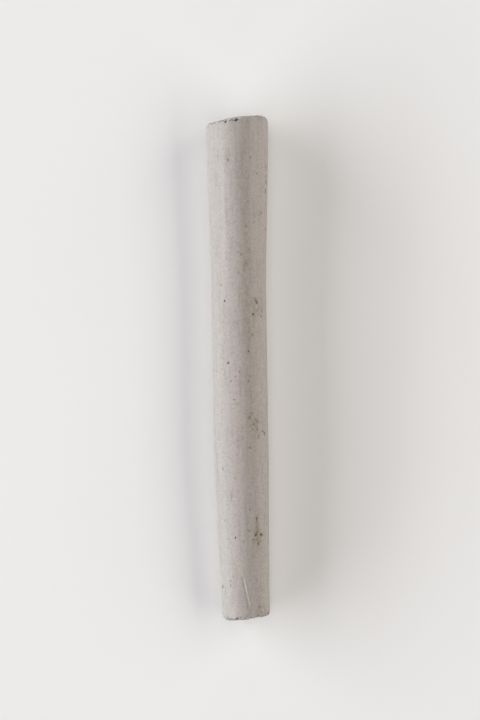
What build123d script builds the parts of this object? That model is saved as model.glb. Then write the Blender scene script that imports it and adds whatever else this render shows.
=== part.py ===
from build123d import *

import math
import os

# A stick of moulded blackboard chalk, used and worn, lying on its side as it comes to rest.
# Millimetres. Y runs along the stick from the thin tip to the thick head, X points across it
# and Z up. The origin is on the surface that it lies on, in the middle of its footprint.

# Driving sizes of the stick
stick_length = 82.5
head_diameter = 10.1
grip_diameter = 9.0
tip_diameter = 7.85

# Its line: a tip run, a grip run and a head run, which meet at two faint bends
tip_bend_share = 0.36         # of the length, from the tip
head_bend_share = 0.65
tip_bend_offset = -0.36       # where the line passes, to +X of its two ends
head_bend_offset = -0.25

# Tapers: the tip run widens to the grip, and the head run swells
taper_end_share = 0.31
swell_start_share = 0.68
swell_end_share = 0.945
taper_round = 4.0             # length of the round where a taper runs into a straight side

# Ends worn to shallow leaning crowns with rounded rims
crown_radius = 19.5
head_lean = 6.8               # degrees that the head's crown faces to -X
tip_lean = 4.4                # degrees that the tip's crown faces to +X
rim_radius = 0.85

# Flats rubbed on the sides, with the angle that each faces, from +X towards +Z
rest_flat_width = 2.4         # the side that it lies on, along the whole stick
flank_flat_depth = 0.15       # upper left, on the swell: it fades out towards the grip
flank_flat_angle = 133.0
taper_flat_depth = 0.10       # upper right, along the tip's taper
taper_flat_angle = 71.0

# Fresh damage: a scratch near the tip, a spall across the tip, chips out of the head's rim
scratch_length = 7.6          # of the wheel's cut in a plane: the round side takes two fifths off it
scratch_depth = 0.10
scratch_width = 0.36
scratch_from_tip = 4.8        # from the tip to the scratch's middle
scratch_angle = 89.0          # where it lies round the stick, from +X towards +Z
scratch_turn = 15.0           # degrees from the stick's line to the left, seen from above
spall_depth = 0.24
spall_radius = 3.0
spall_offset = 1.45           # to +X of the tip's middle
spall_turn = 11.0             # degrees from upright, across the tip
chip_radius = 0.55
chip_depth = 0.20
chip_angles = (112.0, 90.0)   # degrees round the head's rim, from +X towards +Z
chip_size_shares = (0.8, 1.0)

overrun = 1.0                 # what a cut or a run's end reaches past the solid

tip_radius = tip_diameter / 2
grip_radius = grip_diameter / 2
head_radius = head_diameter / 2


def along(share):
    return (share - 0.5) * stick_length


def rest_height(radius):
    """Height of the stick's line where a round of this radius leaves the rest flat's width."""
    return math.sqrt(radius**2 - (rest_flat_width / 2) ** 2)


def crown_drop(radius):
    """How far a crown falls from its middle to this radius."""
    return crown_radius - math.sqrt(crown_radius**2 - radius**2)


def end_stem(radius, lean):
    """Length of an end on its axis: crown, rim and what the lean takes up."""
    return crown_drop(radius) + rim_radius + radius * math.tan(math.radians(lean / 2))


def end_start(out, radius, lean):
    """Where the stick's line turns out along an end's leaning axis, and that axis."""
    tilt = math.radians(lean)
    axis = Vector(-out * math.sin(tilt), out * math.cos(tilt), 0)
    middle = stick_length / 2 - crown_radius * (1 - math.cos(tilt))
    y = out * (middle - end_stem(radius, lean) * math.cos(tilt))
    return Vector(0, y, rest_height(radius)), axis


taper_start = (taper_round + overrun) / 2   # past the joint with the tip's end
head_start, head_axis = end_start(1, head_radius, head_lean)
tip_start, tip_axis = end_start(-1, tip_radius, tip_lean)
tip_bend = Vector(tip_bend_offset, along(tip_bend_share), rest_height(grip_radius))
head_bend = Vector(head_bend_offset, along(head_bend_share), rest_height(grip_radius))
tip_line = (tip_bend - tip_start).normalized()
grip_line = (head_bend - tip_bend).normalized()
head_line = (head_start - head_bend).normalized()
taper_end = along(taper_end_share) - tip_start.Y
taper_angle = math.atan2(grip_radius - tip_radius, taper_end - taper_start)
taper_skin = tip_radius - taper_start * math.tan(taper_angle)   # the taper's side, run back to its start
swell_start = along(swell_start_share) - head_bend.Y
swell_end = along(swell_end_share) - head_bend.Y
flank_angle = math.atan2(head_radius - flank_flat_depth - grip_radius, swell_end)


def frame_at(point, line):
    """Frame at a point of the stick's line: Y along the line and Z as near to straight up as can be."""
    across = line.cross(Vector(0, 0, 1))
    return Plane(origin=point, x_dir=across, z_dir=across.cross(line))


def rounded(face, corner, before, after):
    """The face with one corner of its outline, (radius, place), rounded over the taper's length."""
    slopes = [math.atan2(b[0] - a[0], b[1] - a[1]) for a, b in ((before, corner), (corner, after))]
    vertex = face.vertices().sort_by_distance(corner)[0]
    return fillet(vertex, taper_round / 2 / math.tan(abs(slopes[1] - slopes[0]) / 2))


def run(start, line, points):
    """A straight run turned about the line from (radius, place along it) points."""
    face = make_face(Polyline((0, points[0][1]), *points, (0, points[-1][1]), close=True))
    for before, corner, after in zip(points, points[1:], points[2:]):
        face = rounded(face, corner, before, after)
    return frame_at(start, line).location * revolve(face, Axis.Y)


def end(start, axis, radius, lean):
    """One end turned about its leaning axis: a plain side, a round rim and a shallow crown."""
    stem = end_stem(radius, lean)
    corner = (radius, stem - crown_drop(radius))
    side = Polyline((0, stem), (0, -radius), (radius, -radius), corner)
    crown = ThreePointArc(corner, (radius / 2, stem - crown_drop(radius / 2)), (0, stem))
    face = make_face(side + crown)
    face = fillet(face.vertices().sort_by_distance(corner)[0], rim_radius)
    return frame_at(start, axis).location * revolve(face, Axis.Y)


def mitre(point, before, after):
    """Plane that halves the bend between two lines, facing the head."""
    return Plane(origin=point, z_dir=before + after)


def body():
    """The stick worn round: two ends and three runs, mitred where its line bends."""
    tip_length = (tip_bend - tip_start).length
    grip_length = (head_bend - tip_bend).length
    head_length = (head_start - head_bend).length
    runs = [
        end(tip_start, tip_axis, tip_radius, tip_lean),
        run(tip_start, tip_line, [
            (tip_radius, -tip_radius),
            (tip_radius, taper_start),
            (grip_radius, taper_end),
            (grip_radius, tip_length + overrun),
        ]),
        run(tip_bend, grip_line, [(grip_radius, -overrun), (grip_radius, grip_length + overrun)]),
        run(head_bend, head_line, [
            (grip_radius, -overrun),
            (grip_radius, swell_start),
            (head_radius, swell_end),
            (head_radius, head_length + head_radius),
        ]),
        end(head_start, head_axis, head_radius, head_lean),
    ]
    joints = [
        mitre(tip_start, -tip_axis, tip_line),
        mitre(tip_bend, tip_line, grip_line),
        mitre(head_bend, grip_line, head_line),
        mitre(head_start, head_line, head_axis),
    ]
    trimmed = []
    for piece, before, after in zip(runs, [None, *joints], [*joints, None]):
        if before is not None:
            piece = split(piece, before, keep=Keep.TOP)
        if after is not None:
            piece = split(piece, after, keep=Keep.BOTTOM)
        trimmed.append(piece)
    return Part() + trimmed


def flat(point, line, angle, distance, slope):
    """Place on a flat at a distance from a line: Z faces out, Y runs along and may slope outwards."""
    turn = Rot(0, 90 - angle, 0)
    return frame_at(point, line).location * turn * Pos(0, 0, distance) * Rot(math.degrees(slope), 0, 0)


def outside(place, back):
    """What a flat takes off on its outer side, from this far behind its place to past the head."""
    depth = head_diameter
    return place * Pos(0, stick_length - back, depth / 2) * Box(2 * depth, 2 * stick_length, depth)


def scratch():
    """A thin wheel that dips into the side: its groove runs out at both ends."""
    wheel_radius = (scratch_length**2 / 4 + scratch_depth**2) / (2 * scratch_depth)
    edge_radius = (scratch_width**2 / 4 + scratch_depth**2) / (2 * scratch_depth)
    edge = Pos(0, wheel_radius - edge_radius) * Rot(0, 0, -90) * Circle(edge_radius)
    wheel = revolve(Plane.XZ * edge, Axis.X)
    side = flat(tip_start, tip_line, scratch_angle, taper_skin, taper_angle)
    place = Pos(0, along(0) + scratch_from_tip - tip_start.Y, wheel_radius - scratch_depth)
    return side * place * Rot(0, 0, scratch_turn) * wheel


def spall():
    """A shallow trough broken across the tip's crown."""
    centre = tip_start + (end_stem(tip_radius, tip_lean) - crown_radius) * tip_axis
    across = tip_start.X + spall_offset - centre.X
    skin = centre.Y - math.sqrt(crown_radius**2 - across**2)
    trough = Rot(0, spall_turn, 0) * Cylinder(spall_radius, 2 * head_diameter)
    return Pos(centre.X + across, skin + spall_depth - spall_radius, tip_start.Z) * trough


def chip(angle, size_share):
    """A ball that takes a shell-shaped flake off the head's round rim."""
    rim = head_radius - rim_radius
    rim_drop = crown_radius - math.sqrt((crown_radius - rim_radius) ** 2 - rim**2)
    out = (rim_radius + size_share * (chip_radius - chip_depth)) * math.sqrt(0.5)
    place = Pos(rim + out, end_stem(head_radius, head_lean) - rim_drop + out, 0)
    turn = frame_at(head_start, head_axis).location * Rot(0, -angle, 0)
    return turn * place * Sphere(size_share * chip_radius)


def chalk_stick():
    taper = flat(tip_start, tip_line, taper_flat_angle, taper_skin - taper_flat_depth, taper_angle)
    flank = flat(head_bend, head_line, flank_flat_angle, grip_radius, flank_angle)
    stick = body() - outside(taper, head_radius) - outside(flank, -swell_start) - scratch() - spall()
    for angle, size_share in zip(chip_angles, chip_size_shares):
        stick = stick - chip(angle, size_share)
    stick = stick - outside(Rot(0, 180, 0), stick_length)
    box = stick.bounding_box()
    return Pos(-box.center().X, -box.center().Y, 0) * stick


stick = chalk_stick()
os.makedirs("parts", exist_ok=True)
export_step(stick, "parts/chalk_stick.step")
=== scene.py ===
import math
import random

import bmesh
import bpy
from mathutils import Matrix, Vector, kdtree, noise


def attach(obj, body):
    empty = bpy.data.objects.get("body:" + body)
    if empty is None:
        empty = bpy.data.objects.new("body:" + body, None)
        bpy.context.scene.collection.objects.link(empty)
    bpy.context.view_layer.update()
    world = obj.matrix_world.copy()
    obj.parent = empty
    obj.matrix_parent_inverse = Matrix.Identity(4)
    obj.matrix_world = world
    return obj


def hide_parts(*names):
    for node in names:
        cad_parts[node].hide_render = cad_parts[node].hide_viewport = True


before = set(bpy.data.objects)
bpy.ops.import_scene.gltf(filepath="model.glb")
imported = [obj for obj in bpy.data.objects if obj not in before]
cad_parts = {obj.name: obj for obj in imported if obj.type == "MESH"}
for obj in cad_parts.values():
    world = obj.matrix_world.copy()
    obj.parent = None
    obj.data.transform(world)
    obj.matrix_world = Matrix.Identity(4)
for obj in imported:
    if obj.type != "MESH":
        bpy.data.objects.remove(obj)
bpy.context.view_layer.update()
mm = 0.001


# camera straight above the stick (mm, degrees)
camera = {
    "place": (-0.22, 1.315, 493.0),
    "turn": -1.055,
    "lens": 150,
    "sensor": 36,
    "nearest": 10,
    "outlineLevel": 4.5,  # height of the stick's outline
}


def seen(point):  # where the camera sees a point, on the level of the stick's outline
    cx, cy, cz = camera["place"]
    share = (cz - camera["outlineLevel"]) / (cz - point.z)
    return Vector((cx + (point.x - cx) * share, cy + (point.y - cy) * share, 0))


def makeCamera():
    data = bpy.data.cameras.new("camera")
    data.lens = camera["lens"]
    data.sensor_width = camera["sensor"]
    data.clip_start = camera["nearest"] * mm
    made = bpy.data.objects.new("camera", data)
    made.location = Vector(camera["place"]) * mm
    made.rotation_euler = (0, 0, math.radians(camera["turn"]))
    bpy.context.scene.collection.objects.link(made)
    bpy.context.scene.camera = made


makeCamera()
print("camera set")


# the stick: a turned blank, then worn into shape (mm, angles in degrees)
stick = {
    "half": 41.0,  # half its length, less the grains that stand out at its ends
    "slide": -0.05,
    "radii": (3.89, 4.46, 5.02),  # tip, grip, head
    "taper": (-37.3, -15.7),  # along the stick, tip to grip
    "swell": (14.85, 36.7),  # grip to head
    "bends": ((-40.0, 0.03), (-11.5, -0.32), (12.4, -0.21), (40.0, 0.03)),  # its line, (y, x)
    "soften": 2.2,  # tapers and bends are rounded over this
    "restFlat": 2.4,
    "crown": 19.5,  # radius of both worn ends
    "tipEnd": {"apex": -1.9, "rim": 0.85, "rimLean": -0.35},
    "headEnd": {"apex": 2.3, "rim": 0.92, "rimLean": 0.26},
    "taperFlat": {"angle": 71, "depth": 0.1, "span": (-12.0, -22.0), "edge": 0.09},
    "flankFlat": {"angle": 133.5, "depth": 0.2, "span": (6.0, 23.0), "edge": 0.03},
    "rightFlat": {"angle": 50, "depth": 0.15, "span": (12.0, 21.0), "edge": 0.05},
    "thinnest": 0.001,  # the least that a flat takes off
    "blank": {"face": 4.0, "side": 5.0, "rim": 1.0},
    "giveWay": 8.0,  # length of side that makes room for each end
    "merge": 1e-4,
    "steps": 116,
    "cuts": (12, 6, 214, 6, 12),  # face, rim, side, rim, face
}


def clamp(value):
    return min(max(value, 0.0), 1.0)


def ramp(value, span):
    return clamp((value - span[0]) / (span[1] - span[0]))


def ease(value):
    value = clamp(value)
    return value * value * (3 - 2 * value)


def bell(value, middle, width):
    return math.exp(-(((value - middle) / width) ** 2))


def straightRadius(y):
    tip, grip, head = stick["radii"]
    return tip + (grip - tip) * ramp(y, stick["taper"]) + (head - grip) * ramp(y, stick["swell"])


def straightLine(y):
    x = stick["bends"][0][1]
    for (y0, x0), (y1, x1) in zip(stick["bends"], stick["bends"][1:]):
        x += (x1 - x0) * ramp(y, (y0, y1))
    return x


def softened(course, y):  # rounds a course of straight runs where they meet
    reach = stick["soften"]
    return (course(y - reach) + 2 * course(y) + course(y + reach)) / 4


def restHeight(radius):  # height of the stick's line above its rest flat
    return math.sqrt(radius**2 - (stick["restFlat"] / 2) ** 2)


def turnBlank():
    half, size = stick["half"], stick["blank"]
    face, side, rim = size["face"], size["side"], size["rim"]
    outline = [(0, -half), (face, -half), (side, rim - half), (side, half - rim), (face, half), (0, half)]
    made = bmesh.new()
    verts = [made.verts.new((r, y, 0)) for r, y in outline]
    edges = [made.edges.new(pair) for pair in zip(verts, verts[1:])]
    for edge, cuts in zip(edges, stick["cuts"]):
        bmesh.ops.subdivide_edges(made, edges=[edge], cuts=cuts)
    profile = made.verts[:] + made.edges[:]
    bmesh.ops.spin(made, geom=profile, cent=(0, 0, 0), axis=(0, 1, 0),
                   angle=2 * math.pi, steps=stick["steps"], use_merge=True)
    bmesh.ops.remove_doubles(made, verts=made.verts[:], dist=stick["merge"])
    bmesh.ops.recalc_face_normals(made, faces=made.faces[:])
    return made


def crownFall(end, x, z):
    crown = stick["crown"]
    return crown - math.sqrt(crown**2 - (x - end["apex"]) ** 2 - z**2)


def wearFlats(x, y, z, radius):
    for flat in (stick["taperFlat"], stick["flankFlat"], stick["rightFlat"]):
        angle = math.radians(flat["angle"])
        across, up = math.cos(angle), math.sin(angle)
        depth = flat["depth"] * ramp(y, flat["span"])
        over = x * across + z * up - (radius - depth)
        taken = (over + math.sqrt(over**2 + flat["edge"] ** 2)) / 2
        if depth > 0 and taken > stick["thinnest"]:
            x -= taken * across
            z -= taken * up
    return x, z


def wearVert(vert):
    half, faceRadius, rimWidth = stick["half"], stick["blank"]["face"], stick["blank"]["rim"]
    blankRadius = math.hypot(vert.co.x, vert.co.z)
    angle = math.atan2(vert.co.z, vert.co.x)
    y = vert.co.y
    out = 1 if y > 0 else -1
    end = stick["headEnd"] if out > 0 else stick["tipEnd"]
    radius = softened(straightRadius, y)
    across, up = math.cos(angle), math.sin(angle)
    rim = end["rim"] + end["rimLean"] * across
    inner = radius - rim
    rimFall = crownFall(end, inner * across, inner * up)
    turn = ramp(abs(y), (half - rimWidth, half)) * math.pi / 2
    if blankRadius < faceRadius + stick["merge"] and abs(y) > half - stick["merge"]:  # on the end face
        reach = inner * blankRadius / faceRadius
        y = out * (half - crownFall(end, reach * across, reach * up))
    elif turn > 0:  # on the rim
        reach = inner + rim * math.cos(turn)
        y = out * (half - rimFall - rim + rim * math.sin(turn))
    else:
        reach = radius
        near = ease(ramp(abs(y), (half - stick["giveWay"], half - rimWidth)))
        y += out * near * (rimWidth - rimFall - rim)
    x, z = wearFlats(reach * across, y, reach * up, radius)
    vert.co.x = x + softened(straightLine, y)
    vert.co.y = y + stick["slide"]
    vert.co.z = z + restHeight(radius)


blank = turnBlank()
for vert in blank.verts:
    wearVert(vert)
print("stick worn to shape:", len(blank.verts), "verts")


# broken and crumbled places (mm, angles in degrees)
damage = {
    "spall": {"x": 1.5, "depth": 0.26, "radius": 2.8, "turn": 11, "reach": 1.0},  # across the tip
    "lumps": ((9.0, 0.045), (2.6, 0.016), (0.9, 0.008)),  # (size, height)
    "lumpShift": (3, 1),
    "refine": (0.4, 0.24, 0.13),  # finer mesh nearer to each pore
}

scratch = {  # seen from above, near the tip
    "start": (-0.44, -33.9),
    "stop": (0.58, -39.2),
    "above": 5.0,
    "reach": 0.55,  # to each side
    "fineReach": 0.4,
    "overrun": (-0.05, 1.05),  # shares of its length
    "fadeIn": (-0.03, 0.2),
    "fadeOut": (1.03, 0.9),
    "walls": (0.22, 0.13),  # gentle on the left, steep on the right
    "depth": 0.08,
    "startDepth": 1.15,  # share of the depth at its start
    "depthLoss": 0.5,  # share lost on the way to the tip
    "lip": 0.03,
    "lipSide": 0.24,
    "lipWidth": 0.1,
}

crumble = {  # broken grains on the end faces and rims
    "reach": 1.1,
    "full": 0.1,  # it is full this far from the edge
    "widest": 4.5,
    "faint": 0.01,  # less than this is none
    "fineFrom": 0.02,
    "grains": ((0.55, 0.13), (0.26, 0.06)),  # (size, height)
    "bite": 0.12,
    "biteSize": 0.8,
    "biteShift": (4, 9, 2),
    "biteGain": 2,
    "biteFloor": 0.2,
    "face": (0.92, 0.7),  # shares of the radius, from the rim to the worn middle
    "faceLoss": 0.3,
}

spotForm = {  # pores and crumbs
    "reach": 1.2,  # in widths
    "pressed": 0.55,
    "painted": 0.6,
    "raggedness": 0.5,
    "raggedScale": 4.3,
    "steepness": 1.2,
    "power": 3,
    "pitLean": 0.6,  # upwards, of the pits in the rims
    "search": 0.15,
    "heightWorth": 0.05,
    "facingUp": 0.12,
}

hiddenPores = {  # chance pores where the camera doesn't look
    "seed": 7,
    "count": 70,
    "angles": (172, 368),
    "onEnds": 6,  # one in so many
    "widths": (0.25, 0.4),
    "depths": (0.05, 0.16),
    "darkness": (0.3, 1.0),
    "lowest": 0.1,
}

# pores as seen from above: x, y, width, depth, darkness
pores = (
    (2.07, -24.62, 0.27, 0.16, 0.85), (2.05, -24.86, 0.20, 0.10, 0.7), (1.90, -27.20, 0.34, 0.16, 0.65),
    (2.70, -27.20, 0.42, 0.18, 0.9), (1.38, -28.10, 0.30, 0.10, 0.4), (2.15, -28.80, 0.38, 0.12, 0.5),
    (2.00, -28.00, 0.28, 0.09, 0.32), (1.92, -26.85, 0.24, 0.08, 0.4), (2.62, -28.25, 0.28, 0.06, 0.28),
    (-1.40, -27.72, 0.24, 0.12, 0.62), (-0.08, -28.45, 0.26, 0.08, 0.4), (0.76, -26.55, 0.45, 0.05, 0.25),
    (0.85, -23.28, 0.26, 0.07, 0.35), (-1.92, -33.96, 0.24, 0.06, 0.34), (-2.44, -34.80, 0.26, 0.05, 0.36),
    (-2.45, -35.30, 0.30, 0.05, 0.38), (-3.71, -35.42, 0.50, 0.24, 0.9), (2.34, -35.80, 0.30, 0.05, 0.28),
    (2.18, -38.96, 0.30, 0.06, 0.28), (2.58, -39.70, 0.30, 0.04, 0.1),
    (-2.45, 11.15, 0.24, 0.14, 0.9), (2.07, 8.88, 0.27, 0.16, 1.0), (2.10, 8.62, 0.25, 0.12, 0.9),
    (2.45, 11.02, 0.34, 0.10, 0.38), (2.60, 10.50, 0.46, 0.08, 0.36), (2.30, 11.25, 0.24, 0.07, 0.35),
    (3.40, 8.30, 0.34, 0.08, 0.5), (3.45, 9.55, 0.32, 0.05, 0.25), (3.50, 9.20, 0.30, 0.05, 0.22),
    (1.15, 2.68, 0.23, 0.12, 0.85), (-2.14, 0.88, 0.28, 0.14, 0.8), (1.95, 5.55, 0.42, 0.06, 0.36),
    (-0.25, -0.52, 0.22, 0.06, 0.36), (-0.90, -1.46, 0.23, 0.07, 0.42), (-1.73, -2.00, 0.27, 0.07, 0.42),
    (1.22, -2.14, 0.38, 0.07, 0.36), (1.38, -1.55, 0.22, 0.05, 0.2), (-1.16, -5.30, 0.20, 0.12, 0.8),
    (1.60, -7.55, 0.34, 0.07, 0.34), (1.12, -8.00, 0.44, 0.08, 0.34), (2.17, -8.44, 0.25, 0.06, 0.36),
    (2.38, -9.52, 0.30, 0.06, 0.3), (2.37, -8.98, 0.26, 0.06, 0.38), (1.88, -9.33, 0.32, 0.05, 0.28),
    (1.69, -10.06, 0.34, 0.05, 0.3), (2.40, -10.10, 0.32, 0.07, 0.38), (3.52, -10.56, 0.42, 0.12, 0.65),
    (3.22, -10.40, 0.34, 0.09, 0.55), (2.58, -10.97, 0.26, 0.08, 0.52), (2.47, -11.42, 0.24, 0.06, 0.3),
    (1.17, -13.12, 0.33, 0.09, 0.38), (-3.27, -16.18, 0.38, 0.06, 0.32), (-1.53, -18.04, 0.28, 0.05, 0.28),
    (-4.10, -19.82, 0.28, 0.04, 0.18), (2.18, 34.42, 0.32, 0.05, 0.25), (2.98, 31.73, 0.33, 0.05, 0.26),
    (2.58, 32.04, 0.29, 0.04, 0.18), (1.35, 32.20, 0.30, 0.04, 0.18), (1.42, 27.25, 0.26, 0.07, 0.3),
    (3.68, 25.10, 0.38, 0.07, 0.3), (2.50, 23.65, 0.22, 0.08, 0.34), (1.04, 22.85, 0.46, 0.05, 0.18),
    (-0.10, 18.80, 0.28, 0.05, 0.3), (0.22, 18.66, 0.28, 0.05, 0.3), (1.45, 19.15, 0.26, 0.05, 0.24),
    (-0.50, 20.50, 0.26, 0.04, 0.18), (1.05, 16.94, 0.44, 0.05, 0.18), (0.72, 15.98, 0.33, 0.05, 0.22),
    (-0.26, 15.52, 0.36, 0.05, 0.26), (-3.08, 13.67, 0.40, 0.05, 0.28), (-1.72, 33.90, 0.28, 0.06, 0.45),
    (4.56, 32.62, 0.38, 0.04, 0.4), (4.50, 31.30, 0.34, 0.05, 0.6), (4.55, 31.05, 0.34, 0.05, 0.6),
    (4.46, 30.25, 0.34, 0.05, 0.6), (4.52, 30.00, 0.34, 0.05, 0.65), (4.42, 28.95, 0.38, 0.06, 0.8),
    (4.47, 28.65, 0.34, 0.06, 0.7), (4.44, 26.48, 0.38, 0.04, 0.4), (4.34, 22.48, 0.38, 0.04, 0.45),
    # the pits in the broken rims are painted near black: painted shade in the pits
    (-1.82, 40.25, 0.46, 0.30, 1.0), (-1.10, 40.36, 0.24, 0.10, 0.5), (-0.04, 40.56, 0.56, 0.34, 1.0),
    (-0.36, 40.46, 0.34, 0.18, 0.9), (-0.75, 40.42, 0.28, 0.12, 0.7), (-1.42, -40.84, 0.36, 0.14, 0.8),
)

# pale crumbs, most of them on the broken rims: x, y, width, height
crumbs = (
    (-1.59, 40.16, 0.28, 0.10), (-1.32, 40.45, 0.30, 0.10), (-1.00, 40.58, 0.30, 0.10),
    (-0.50, 40.66, 0.26, 0.10), (0.34, 40.72, 0.30, 0.10), (0.66, 40.76, 0.24, 0.06),
    (2.70, 40.80, 0.24, 0.04), (3.30, 40.70, 0.22, 0.03), (-1.00, -40.80, 0.26, 0.03),
    (-2.00, -40.75, 0.24, 0.03), (0.10, -40.65, 0.22, 0.02), (-2.60, -40.62, 0.22, 0.03),
    (-1.72, -40.62, 0.20, 0.02), (-0.52, -40.72, 0.22, 0.03), (-1.78, -21.35, 0.24, 0.03),
)


def keyVerts(made, spot=lambda vert: vert.co, keep=lambda vert: True):  # verts found by place
    kept = [v for v in made.verts if keep(v)]
    tree = kdtree.KDTree(len(kept))
    for index, vert in enumerate(kept):
        tree.insert(spot(vert), index)
    tree.balance()
    return kept, tree


def refine(made, near):  # finer mesh where small damage goes
    edges = [e for e in made.edges if near((e.verts[0].co + e.verts[1].co) / 2)]
    bmesh.ops.subdivide_edges(made, edges=edges, cuts=1, use_grid_fill=True)


def breakSpall(made):
    spall = damage["spall"]
    lean = math.tan(math.radians(spall["turn"]))
    middle = restHeight(stick["radii"][0])
    floorY = crownFall(stick["tipEnd"], spall["x"], 0) + spall["depth"] - stick["half"]
    for vert in made.verts:
        across = vert.co.x - spall["x"] - lean * (vert.co.z - middle)
        if vert.co.y < floorY + spall["reach"] and abs(across) < spall["radius"]:
            rise = spall["radius"] - math.sqrt(spall["radius"] ** 2 - across**2)
            vert.co.y = max(vert.co.y, floorY - rise)


def alongScratch(point):  # share along it, and distance to the right of its line
    start, stop = Vector(scratch["start"]), Vector(scratch["stop"])
    run = stop - start
    away = seen(point).to_2d() - start
    return away.dot(run) / run.length_squared, (away.x * -run.y + away.y * run.x) / run.length


def nearScratch(point, reach=scratch["reach"]):
    share, side = alongScratch(point)
    first, last = scratch["overrun"]
    return first < share < last and abs(side) < reach and point.z > scratch["above"]


def scratchFade(share):
    return ease(ramp(share, scratch["fadeIn"])) * ease(ramp(share, scratch["fadeOut"]))


def cutScratch(made):
    for vert in made.verts:
        if nearScratch(vert.co):
            share, side = alongScratch(vert.co)
            lip = scratch["lip"] * bell(side, scratch["lipSide"], scratch["lipWidth"])
            depth = scratch["depth"] * (scratch["startDepth"] - scratch["depthLoss"] * share)
            vert.co.z += scratchFade(share) * (lip - depth * bell(side, 0, scratch["walls"][side > 0]))


def shift(made, rise):  # moves each vert along its normal
    made.normal_update()
    moves = [v.normal * rise(v.co) for v in made.verts]
    for vert, move in zip(made.verts, moves):
        vert.co += move


def lumps(point):
    return sum(height * noise.noise(point / size + Vector((size, *damage["lumpShift"])))
               for size, height in damage["lumps"])


def endShare(point):  # 1 on the broken end faces and rims, fading down the side
    end = stick["headEnd"] if point.y > 0 else stick["tipEnd"]
    x = max(min(point.x, crumble["widest"]), -crumble["widest"])
    edge = stick["half"] - crownFall(end, x, 0)
    return ease(ramp(abs(point.y), (edge - crumble["reach"], edge - crumble["full"])))


def faceShare(point):  # 1 on the worn middle of an end face, 0 at its rim
    radius = softened(straightRadius, point.y)
    away = math.hypot(point.x - softened(straightLine, point.y), point.z - restHeight(radius))
    return ease(ramp(away / radius, crumble["face"]))


def grainHeight(point, size):  # -1 between grains, up to 1 on them
    return 1 - 2 * clamp(noise.voronoi(point / size)[0][0])


def crumbled(point):
    share = endShare(point)
    if share < crumble["faint"]:
        return 0.0
    rise = sum(height * grainHeight(point, size) for size, height in crumble["grains"])
    hollow = noise.noise(point / crumble["biteSize"] + Vector(crumble["biteShift"]))
    bite = clamp(crumble["biteGain"] * hollow - crumble["biteFloor"])
    return share * (1 - crumble["faceLoss"] * faceShare(point)) * (rise - crumble["bite"] * bite)


def makeSpot(vert, width, depth, dark, lean=0.0):  # a pore, or with a negative depth a crumb
    way = (vert.normal + Vector((0, 0, lean))).normalized()
    return {"place": vert.co.copy(), "way": way, "reach": spotForm["reach"] * width, "width": width,
            "depth": depth, "dark": dark}


def seenVert(skin, tree, x, y):  # the vert that shows at a place: the topmost where many stand over it
    near = tree.find_range((x, y, 0), spotForm["search"]) or [tree.find((x, y, 0))]
    return skin[min(near, key=lambda hit: hit[2] - spotForm["heightWorth"] * skin[hit[1]].co.z)[1]]


def placeSpots(made):  # the seen pores and crumbs, then the hidden pores
    made.normal_update()
    skin, tree = keyVerts(made, lambda v: seen(v.co), lambda v: v.normal.z > spotForm["facingUp"])
    found = []
    for x, y, width, depth, dark in pores:
        vert = seenVert(skin, tree, x, y)
        found.append(makeSpot(vert, width, depth, dark, spotForm["pitLean"] * endShare(vert.co)))
    for x, y, width, height in crumbs:
        found.append(makeSpot(seenVert(skin, tree, x, y), width, -height, 0.0))
    rng = random.Random(hiddenPores["seed"])
    verts, tree = keyVerts(made)
    for number in range(hiddenPores["count"]):
        y = rng.uniform(-stick["half"], stick["half"])
        angle = math.radians(rng.uniform(*hiddenPores["angles"]))
        radius = softened(straightRadius, y)
        if number % hiddenPores["onEnds"] == 0:
            y, radius = math.copysign(stick["half"], y), rng.uniform(0, radius)
        x = softened(straightLine, y) + radius * math.cos(angle)
        z = restHeight(softened(straightRadius, y)) + radius * math.sin(angle)
        width, depth, dark = (rng.uniform(*hiddenPores[key]) for key in ("widths", "depths", "darkness"))
        vert = verts[tree.find((x, y, z))[1]]
        if vert.co.z > hiddenPores["lowest"]:
            found.append(makeSpot(vert, width, depth, dark))
    return found


def markOf(spot, place, share):  # 1 in a spot's middle, falling off raggedly to its edge
    gap = place - spot["place"]
    gap -= spot["way"] * gap.dot(spot["way"])
    ragged = 1 + spotForm["raggedness"] * noise.noise((spot["place"] + gap) * spotForm["raggedScale"])
    away = abs(gap.length * ragged / (share * spot["width"]))
    return math.exp(-spotForm["steepness"] * away ** spotForm["power"])


def pressSpots(made, found):
    verts, tree = keyVerts(made)
    for spot in found:
        for place, index, _ in tree.find_range(spot["place"], spot["reach"]):
            verts[index].co -= spot["way"] * spot["depth"] * markOf(spot, place, spotForm["pressed"])


breakSpall(blank)
refine(blank, lambda p: endShare(p) > crumble["fineFrom"])
refine(blank, nearScratch)
refine(blank, lambda p: nearScratch(p, scratch["fineReach"]))
shift(blank, lumps)
shift(blank, crumbled)
cutScratch(blank)
spots = placeSpots(blank)
spotTree = kdtree.KDTree(len(spots))
for index, spot in enumerate(spots):
    spotTree.insert(spot["place"], index)
spotTree.balance()
for reach in damage["refine"]:
    refine(blank, lambda p: spotTree.find(p)[2] < reach)
pressSpots(blank, spots)
blank.normal_update()
print("damage done:", len(blank.verts), "verts,", len(spots), "spots")


# dirt, painted shade, stains, pale places and painted highlights, painted on the verts (mm)
tintPlan = {
    "patchReach": 5,  # past this a patch is too faint to count
    "stainFloor": 0.6,
    "stainGain": 1.3,
    "stainScale": 1.9,
    "faceLoss": 0.75,
    # painted shade between the grains of the broken ends, and pale grain tops
    "betweenGrains": 0.4,
    # darker towards the rims
    "rimDark": 0.15,
    "grainTops": 0.3,
    "flankShade": 0.11,  # painted shade: the left flank is made darker, against the floor's bounce
    "flankSpan": (0.7, 0.95),
    "freshAndHighlight": {"side": 0.16, "width": 0.1, "start": 0.02, "gain": 0.16},  # painted highlight on the scratch's right wall
    "shaded": {"side": -0.2, "width": 0.16, "dirtAndShade": 0.14, "span": (-0.05, 0.05), "loss": 1.8},  # painted shadow on its left
    "crumbPale": 10,  # for each mm of a crumb's height
}

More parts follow.
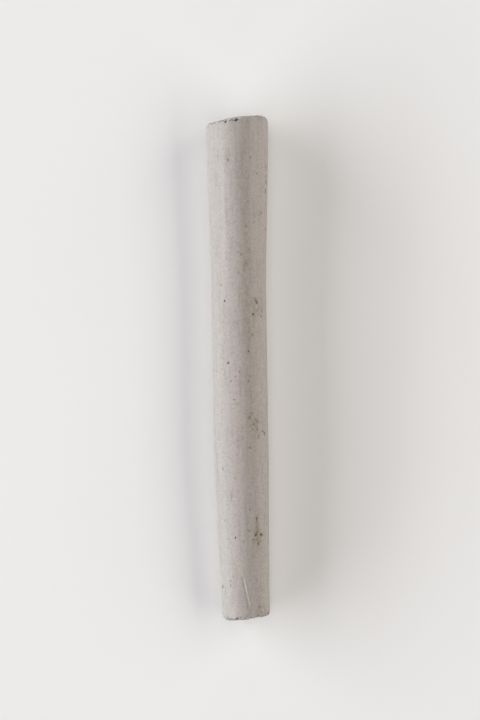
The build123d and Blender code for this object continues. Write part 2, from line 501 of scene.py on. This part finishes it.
# stains as seen from above: x, y, half width, half length, strength
stains = (
    (2.1, -27.4, 0.6, 1.7, 0.7), (2.05, -25.9, 0.25, 1.3, 0.4), (2.0, -9.3, 1.0, 2.0, 0.45),
    (2.7, 10.0, 0.8, 1.5, 0.5), (-1.98, -20.95, 0.17, 0.7, 0.9), (2.4, -39.4, 0.6, 0.8, 0.45),
    (3.1, 12.6, 0.5, 0.3, 0.4), (-1.6, 34.6, 0.5, 0.9, 0.55), (0.95, 16.0, 0.6, 14.0, 0.34),
    (1.5, -6.0, 0.8, 12.0, 0.14), (2.9, -35.5, 0.35, 6.0, 0.24), (2.2, 5.0, 1.5, 17.0, 0.09),
    (2.55, 10.4, 0.3, 0.45, 0.6), (2.1, -27.3, 0.3, 0.8, 0.15), (3.05, -39.6, 0.45, 0.6, 0.3),
)

# darker grey patches, as the stains
greyPatches = ((0.2, 32.0, 1.0, 8.0, 0.09), (-0.85, -37.6, 0.75, 2.3, 0.13))


def patches(spot, table):  # how strongly a table's patches show at a place
    shown = 0.0
    for x, y, wide, long, strength in table:
        away = ((spot.x - x) / wide) ** 2 + ((spot.y - y) / long) ** 2
        if away < tintPlan["patchReach"]:
            shown += strength * math.exp(-away)
    return shown


def scratchTint(point):  # painted shadow on the scratch's left, and a painted highlight on its right
    freshAndHighlight, shaded = tintPlan["freshAndHighlight"], tintPlan["shaded"]
    along, side = alongScratch(point)
    started = ease(ramp(along, shaded["span"])) * clamp(1 - shaded["loss"] * along)
    dirtAndShade = shaded["dirtAndShade"] * started * bell(side, shaded["side"], shaded["width"])
    bright = scratchFade(along) * bell(side, freshAndHighlight["side"], freshAndHighlight["width"])
    return dirtAndShade, (freshAndHighlight["start"] + freshAndHighlight["gain"] * along) * bright


def vertTint(vert):
    dirtAndShade = stain = broken = pale = 0.0
    share = endShare(vert.co)
    if share > crumble["faint"]:
        crumb = grainHeight(vert.co, crumble["grains"][0][0])
        broken = share * (1 - tintPlan["faceLoss"] * faceShare(vert.co))
        # painted shade between the crumbled grains, and darker towards the rims
        dirtAndShade = broken * (tintPlan["betweenGrains"] * clamp(-crumb) + tintPlan["rimDark"] * share**2)
        # pale tops of the grains: fresh chalk, and a painted highlight
        pale = tintPlan["grainTops"] * share * clamp(crumb)
    # painted shade on the left flank, against the floor's bounce
    dirtAndShade += tintPlan["flankShade"] * ease(ramp(-vert.normal.x, tintPlan["flankSpan"]))
    if vert.normal.z > 0:
        ragged = tintPlan["stainGain"] * noise.noise(vert.co * tintPlan["stainScale"])
        stain = patches(seen(vert.co), stains) * clamp(tintPlan["stainFloor"] + ragged)
        # darker grey patches
        dirtAndShade += patches(seen(vert.co), greyPatches)
    if nearScratch(vert.co):
        # painted shadow and painted highlight along the scratch
        scratchShadow, scratchHighlight = scratchTint(vert.co)
        dirtAndShade += scratchShadow
        pale += scratchHighlight
    return dirtAndShade, clamp(stain), broken, clamp(pale)


def paintTint(made, found):  # red dirt and painted shade, green stain, blue crumbled ends, alpha pale places and painted highlights
    layer = made.verts.layers.float_color.new("tint")
    verts, tree = keyVerts(made)
    for vert in verts:
        vert[layer] = vertTint(vert)
    for spot in found:
        for place, index, _ in tree.find_range(spot["place"], spot["reach"] + abs(spot["depth"])):
            mark = markOf(spot, place, spotForm["painted"])
            tint = verts[index][layer]
            tint[0] = max(tint[0] * (1 - mark), spot["dark"] * mark)
            if spot["depth"] < 0:  # a crumb, and the lower the less pale
                tint[3] = max(tint[3], mark * clamp(-tintPlan["crumbPale"] * spot["depth"]))


paintTint(blank, spots)
for vert in blank.verts:
    vert.co.z = max(vert.co.z, 0.0)
print("chalk painted")

bmesh.ops.scale(blank, vec=(mm, mm, mm), verts=blank.verts[:])
bmesh.ops.recalc_face_normals(blank, faces=blank.faces[:])
for face in blank.faces:
    face.smooth = True
chalkMesh = bpy.data.meshes.new("chalkStick")
blank.to_mesh(chalkMesh)
blank.free()
chalk = bpy.data.objects.new("chalkStick", chalkMesh)
bpy.context.scene.collection.objects.link(chalk)
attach(chalk, "root")
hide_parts("chalk_stick")
print("chalk stick made:", len(chalkMesh.polygons), "faces")


# finishes
def addNode(tree, kind, inputs=None, **settings):
    made = tree.nodes.new(kind)
    for key, value in settings.items():
        setattr(made, key, value)
    for key, value in (inputs or {}).items():
        if isinstance(value, bpy.types.NodeSocket):
            tree.links.new(value, made.inputs[key])
        else:
            made.inputs[key].default_value = value
    return made


def mixColour(tree, share, under, over):
    made = addNode(tree, "ShaderNodeMix", {0: share, 6: under, 7: over}, data_type="RGBA")
    return made.outputs[2]


def spread(tree, value, low, high, start=0.0, stop=1.0):
    made = addNode(tree, "ShaderNodeMapRange", {0: value, 1: low, 2: high, 3: start, 4: stop})
    return made.outputs[0]


def grain(tree, place, size, detail, roughness=0.5):  # noise whose features are about size mm
    inputs = {"Vector": place, "Scale": 1 / (size * mm), "Detail": detail, "Roughness": roughness}
    return addNode(tree, "ShaderNodeTexNoise", inputs).outputs["Fac"]


def reckon(tree, first, second, operation):
    return addNode(tree, "ShaderNodeMath", {0: first, 1: second}, operation=operation).outputs[0]


def dots(tree, place, gap, radius, strength, rare):  # scattered grains or pinholes about gap mm apart
    cells = addNode(tree, "ShaderNodeTexVoronoi", {"Vector": place, "Scale": 1 / (gap * mm)})
    chance = addNode(tree, "ShaderNodeSeparateColor", {0: cells.outputs["Color"]}).outputs[0]
    size = spread(tree, chance, rare, 1.0, 0.0, radius)
    inside = reckon(tree, size, cells.outputs["Distance"], "SUBTRACT")
    return spread(tree, inside, 0.0, chalkFinish["dotEdge"] * radius, 0.0, strength)


chalkFinish = {
    "body": (0.433, 0.391, 0.359, 1),
    "pink": (0.447, 0.391, 0.367, 1),
    "leftGrey": (0.422, 0.391, 0.361, 1),  # greyer on the left side
    "yellow": (0.43, 0.394, 0.346, 1),
    "shade": (0.315, 0.28, 0.25, 1),
    "pale": (0.56, 0.52, 0.485, 1),
    # near black, for pores, dirt and painted shade
    "crumb": (0.60, 0.565, 0.53, 1),
    "freshAndHighlight": (0.78, 0.75, 0.72, 1),  # newly broken chalk, and painted highlights on grain tops and the scratch's right wall
    "stain": (0.27, 0.227, 0.128, 1),
    "poreAndShade": (0.022, 0.016, 0.011, 1),
    "streakScale": (1.0, 0.12, 1.0),  # drawn out along the stick
    "streaks": {"wide": (4.0, 1.0), "streak": (0.55, 2.0)},  # size in mm, detail
    "grains": {"broad": (5.0, 1.5, 0.5), "fine": (0.7, 3.0, 0.6), "speck": (0.26, 2.0, 0.65)},
    "tones": (  # what it follows, where it starts and is full, strength, colour
        ("wide", 0.4, 0.62, 1.0, "pink"),
        ("across", -1.8 * mm, -2.8 * mm, 1.0, "leftGrey"),
        ("broad", 0.52, 0.78, 1.0, "yellow"),
        ("streak", 0.5, 0.8, 0.6, "shade"),
        ("fine", 0.5, 0.75, 0.45, "shade"),
        ("speck", 0.5, 0.75, 0.55, "pale"),
        ("speck", 0.46, 0.25, 0.5, "shade"),
    ),
    "dots": (  # gap in mm, radius and strength, how rare, where, colour
        (0.8, 0.22, 0.4, 0.7, None, "poreAndShade"),
        (0.43, 0.36, 0.55, 0.7, None, "crumb"),
        # on the right: dark specks, and pale dots that are partly grain, partly painted glints
        (0.52, 0.5, 0.9, 0.6, "right", "shade"),
        (0.4, 0.5, 0.7, 0.55, "right", "crumb"),
        (0.4, 0.75, 0.9, 0.6, "broken", "poreAndShade"),
        (0.3, 0.8, 0.9, 0.4, "broken", "crumb"),
    ),
    "dotEdge": 0.7,
    "right": {"across": (0.5 * mm, 3.0 * mm), "along": (16 * mm, -12 * mm), "atHead": 0.25},
    "bumps": (("speck", 0.6, 0.05 * mm), ("fine", 0.5, 0.09 * mm)),  # strength, height
    "roughness": (0.3, 0.7, 0.85, 0.98),
    "specular": 0.2,
}


def makeChalk():
    made = bpy.data.materials.new("chalkMatt")
    made.use_nodes = True
    tree = made.node_tree
    shader = tree.nodes["Principled BSDF"]
    place = addNode(tree, "ShaderNodeTexCoord").outputs["Object"]
    tint = addNode(tree, "ShaderNodeAttribute", attribute_name="tint")
    painted = addNode(tree, "ShaderNodeSeparateColor", {0: tint.outputs["Color"]})
    dirtAndShade, stain, broken = painted.outputs
    across, along = addNode(tree, "ShaderNodeSeparateXYZ", {0: place}).outputs[:2]
    mapping = addNode(tree, "ShaderNodeMapping", {"Vector": place, "Scale": chalkFinish["streakScale"]})
    follows = {"across": across}
    for name, row in chalkFinish["streaks"].items():
        follows[name] = grain(tree, mapping.outputs[0], *row)
    for name, row in chalkFinish["grains"].items():
        follows[name] = grain(tree, place, *row)
    colour = chalkFinish["body"]
    for name, low, high, strength, over in chalkFinish["tones"]:
        share = spread(tree, follows[name], low, high, 0.0, strength)
        colour = mixColour(tree, share, colour, chalkFinish[over])
    right = chalkFinish["right"]  # grainier on the right, most of all near the tip; the pale dots there are partly grain, partly painted glints
    nearTip = spread(tree, along, *right["along"], right["atHead"], 1.0)
    grainAndGlints = reckon(tree, spread(tree, across, *right["across"]), nearTip, "MULTIPLY")
    where = {"right": grainAndGlints, "broken": broken}
    for gap, radius, strength, rare, part, over in chalkFinish["dots"]:
        share = dots(tree, place, gap, radius, strength, rare)
        if part:
            share = reckon(tree, share, where[part], "MULTIPLY")
        colour = mixColour(tree, share, colour, chalkFinish[over])
    # stains, then pale crumbs and painted highlights, then dirt and painted shade
    for share, over in ((stain, "stain"), (tint.outputs["Alpha"], "freshAndHighlight"), (dirtAndShade, "poreAndShade")):
        colour = mixColour(tree, share, colour, chalkFinish[over])
    tree.links.new(colour, shader.inputs["Base Color"])
    tree.links.new(spread(tree, follows["fine"], *chalkFinish["roughness"]), shader.inputs["Roughness"])
    shader.inputs["Specular IOR Level"].default_value = chalkFinish["specular"]
    relief = {}
    for name, strength, height in chalkFinish["bumps"]:
        relief.update({"Height": follows[name], "Strength": strength, "Distance": height})
        relief["Normal"] = addNode(tree, "ShaderNodeBump", relief).outputs[0]
    tree.links.new(relief["Normal"], shader.inputs["Normal"])
    return made


chalkMesh.materials.append(makeChalk())
print("chalk finish made")


# floor and lamps
floorPlan = {
    "size": 4.0,
    "segments": 4,
    "colour": (0.92, 0.91, 0.89, 1),
    "shade": (0.89, 0.88, 0.86, 1),
    "grain": (60.0, 2.0),  # size in mm, detail
    "roughness": 0.9,
}


def makeFloor():
    shape = bmesh.new()
    segments = floorPlan["segments"]
    bmesh.ops.create_grid(shape, x_segments=segments, y_segments=segments, size=floorPlan["size"])
    mesh = bpy.data.meshes.new("floor")
    shape.to_mesh(mesh)
    shape.free()
    paint = bpy.data.materials.new("floorPaint")
    paint.use_nodes = True
    tree = paint.node_tree
    shader = tree.nodes["Principled BSDF"]
    place = addNode(tree, "ShaderNodeTexCoord").outputs["Object"]
    mottle = grain(tree, place, *floorPlan["grain"])
    colour = mixColour(tree, mottle, floorPlan["colour"], floorPlan["shade"])
    tree.links.new(colour, shader.inputs["Base Color"])
    shader.inputs["Roughness"].default_value = floorPlan["roughness"]
    mesh.materials.append(paint)
    made = bpy.data.objects.new("floor", mesh)
    bpy.context.scene.collection.objects.link(made)


# lamps aim at the stick's middle: place and size in metres, watts, colour
lamps = {
    "keyLow": ((-0.685, 0, 0.146), (1.4, 0.2), 6.25, (0.86, 0.95, 1.0)),
    "keyHigh": ((-0.64, 0, 0.285), (1.4, 0.3), 4.2, (0.99, 0.945, 1.0)),
    "fill": ((0.536, 0, 0.45), (1.2, 0.3), 3.1, (0.985, 0.97, 0.942)),
    "fillLow": ((0.666, 0, 0.216), (1.2, 0.24), 1.35, (0.985, 0.98, 0.935)),
    "top": ((0, 0, 0.8), (0.5, 1.6), 2.05, (1.0, 0.965, 0.96)),
    "headSide": ((0, 0.75, 0.27), (0.5, 0.3), 0.2, (1.0, 0.98, 0.96)),
    "tipSide": ((0, -0.75, 0.27), (0.5, 0.3), 0.2, (1.0, 0.98, 0.96)),
}


def makeLamps():
    for name, (place, size, watts, colour) in lamps.items():
        data = bpy.data.lights.new(name, "AREA")
        data.shape = "RECTANGLE"
        data.size, data.size_y = size
        data.energy = watts
        data.color = colour
        made = bpy.data.objects.new(name, data)
        made.location = place
        made.rotation_euler = Vector(place).to_track_quat("Z", "Y").to_euler()
        bpy.context.scene.collection.objects.link(made)
    sky = bpy.data.worlds.new("studio")
    sky.use_nodes = True
    sky.node_tree.nodes["Background"].inputs["Strength"].default_value = 0.0  # the lamps do it all
    bpy.context.scene.world = sky


makeFloor()
makeLamps()
bpy.context.scene.view_settings.view_transform = "Standard"
bpy.context.view_layer.update()
print("floor and lamps set")
